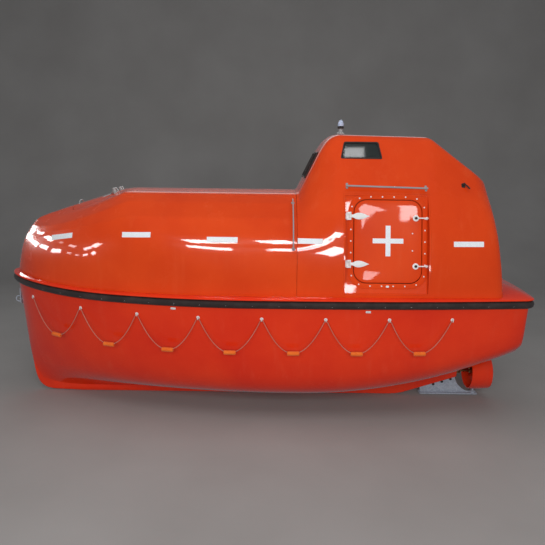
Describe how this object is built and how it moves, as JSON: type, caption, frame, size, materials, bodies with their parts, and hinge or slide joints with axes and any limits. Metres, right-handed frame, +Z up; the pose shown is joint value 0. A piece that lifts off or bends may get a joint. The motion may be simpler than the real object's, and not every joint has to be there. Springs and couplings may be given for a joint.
{
  "type": "totally enclosed lifeboat",
  "caption": "Totally enclosed motor lifeboat: moulded hull with keel, rounded fore canopy, raised wheelhouse, side, bow and aft hatches, rubber fender, lifelines, propeller and steering nozzle.",
  "frame": {"origin": "on the centreline at the waterline, half way along the boat", "axes": "+X towards the stern, +Y to starboard, +Z up"},
  "size_m": [5.6195, 2.22, 3.127],
  "materials": {
    "hull_gelcoat": "glossy red-orange gelcoat on glass fibre",
    "canopy_gelcoat": "glossy orange gelcoat on glass fibre",
    "black_rubber": "black extruded rubber",
    "stainless_steel": "satin stainless steel",
    "galvanised_steel": "dull galvanised steel",
    "bronze": "cast bronze",
    "window_glass": "dark tinted pane",
    "lamp_glass": "clear dome on a dark stem",
    "cabin_lining": "pale moulded lining",
    "lifeline_rope": "faded orange rope with orange floats",
    "engine_paint": "green enamel"
  },
  "bodies": {
    "boat": {"hull": "hull_gelcoat", "fore_canopy": "canopy_gelcoat", "wheelhouse": "canopy_gelcoat", "hatch_frame_port": "canopy_gelcoat", "hatch_frame_starboard": "canopy_gelcoat", "fender_port": "black_rubber", "fender_starboard": "black_rubber", "fender_stern": "black_rubber", "handrail_port": "stainless_steel", "handrail_starboard": "stainless_steel", "grab_rail_port": "stainless_steel", "grab_rail_starboard": "stainless_steel", "bow_eye": "stainless_steel", "position_lamp": "lamp_glass", "side_window_port": "window_glass", "side_window_starboard": "window_glass", "front_window_port": "window_glass", "front_window_starboard": "window_glass", "aft_window": "window_glass", "bench_port": "cabin_lining", "bench_starboard": "cabin_lining", "helm_seat": "cabin_lining", "helm_console": "cabin_lining", "engine": "engine_paint", "lifeline_port": "lifeline_rope", "lifeline_starboard": "lifeline_rope", "stern_tube": "bronze", "skeg_plate": "galvanised_steel"},
    "port_hatch": {"side_hatch_port": "canopy_gelcoat"},
    "starboard_hatch": {"side_hatch_starboard": "canopy_gelcoat"},
    "bow_lid": {"bow_hatch": "canopy_gelcoat"},
    "aft_lid": {"aft_hatch": "canopy_gelcoat"},
    "nozzle": {"steering_nozzle": "hull_gelcoat"},
    "screw": {"propeller": "bronze"}
  },
  "joints": [
    {"name": "port_hatch_hinge", "type": "hinge", "parent": "boat", "child": "port_hatch", "pos_m": [0.893, -0.86845, 1.27257], "axis": [0, -0.2113, -0.9774], "range_deg": [0, 110]},
    {"name": "starboard_hatch_hinge", "type": "hinge", "parent": "boat", "child": "starboard_hatch", "pos_m": [0.893, 0.86845, 1.27257], "axis": [0, -0.2113, 0.9774], "range_deg": [0, 110]},
    {"name": "bow_hatch_hinge", "type": "hinge", "parent": "boat", "child": "bow_lid", "pos_m": [-1.59, 0, 1.7073], "axis": [0, 1, 0], "range_deg": [0, 100]},
    {"name": "aft_hatch_hinge", "type": "hinge", "parent": "boat", "child": "aft_lid", "pos_m": [2.45208, 0.33, 1.02], "axis": [-0.1133, 0, 0.9936], "range_deg": [0, 110]},
    {"name": "steering", "type": "hinge", "parent": "boat", "child": "nozzle", "pos_m": [2.53, 0, -0.375], "axis": [0, 0, 1], "range_deg": [-35, 35]},
    {"name": "propeller_spin", "type": "hinge", "parent": "boat", "child": "screw", "pos_m": [2.53, 0, -0.375], "axis": [1, 0, 0], "continuous": true}
  ]
}
